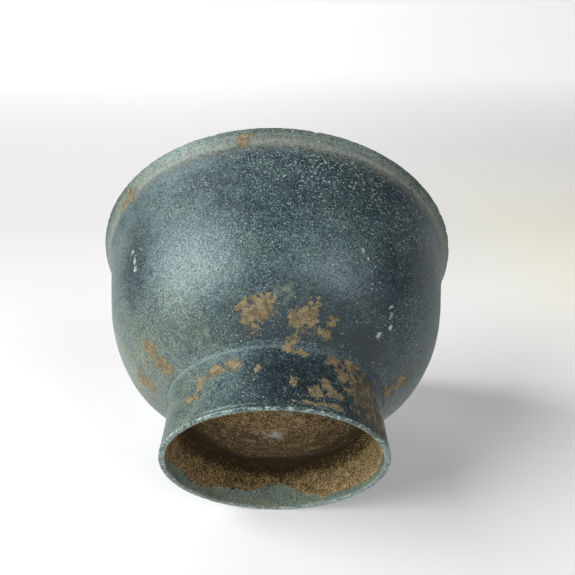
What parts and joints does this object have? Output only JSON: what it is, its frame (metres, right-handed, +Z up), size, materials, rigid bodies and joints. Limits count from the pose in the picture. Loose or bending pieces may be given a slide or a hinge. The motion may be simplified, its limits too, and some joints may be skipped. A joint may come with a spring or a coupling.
{
  "type": "footed bowl",
  "caption": "Deep footed bowl of patinated copper alloy, with a rounded wall, a flared lip and an open ring foot soldered underneath.",
  "frame": {"origin": "centre of the plane that the foot rests on", "axes": "+Z up along the bowl's axis, towards its mouth; X and Y are free, because the bowl is round"},
  "size_m": [0.1354, 0.1354, 0.084],
  "materials": {
    "patinated_shell": "smooth blue-green patina with mint specks, beige dirt and brown earth",
    "patinated_foot": "blue-green patina outside with a pale verdigris edge, rough brown earth inside",
    "solder": "pale grey-green, worn smooth",
    "earthy_solder": "covered with brown earth"
  },
  "bodies": {
    "root": {"bowl_shell": "patinated_shell", "foot_ring": "patinated_foot", "outer_solder_bead": "solder", "inner_solder_bead": "earthy_solder"}
  },
  "joints": []
}
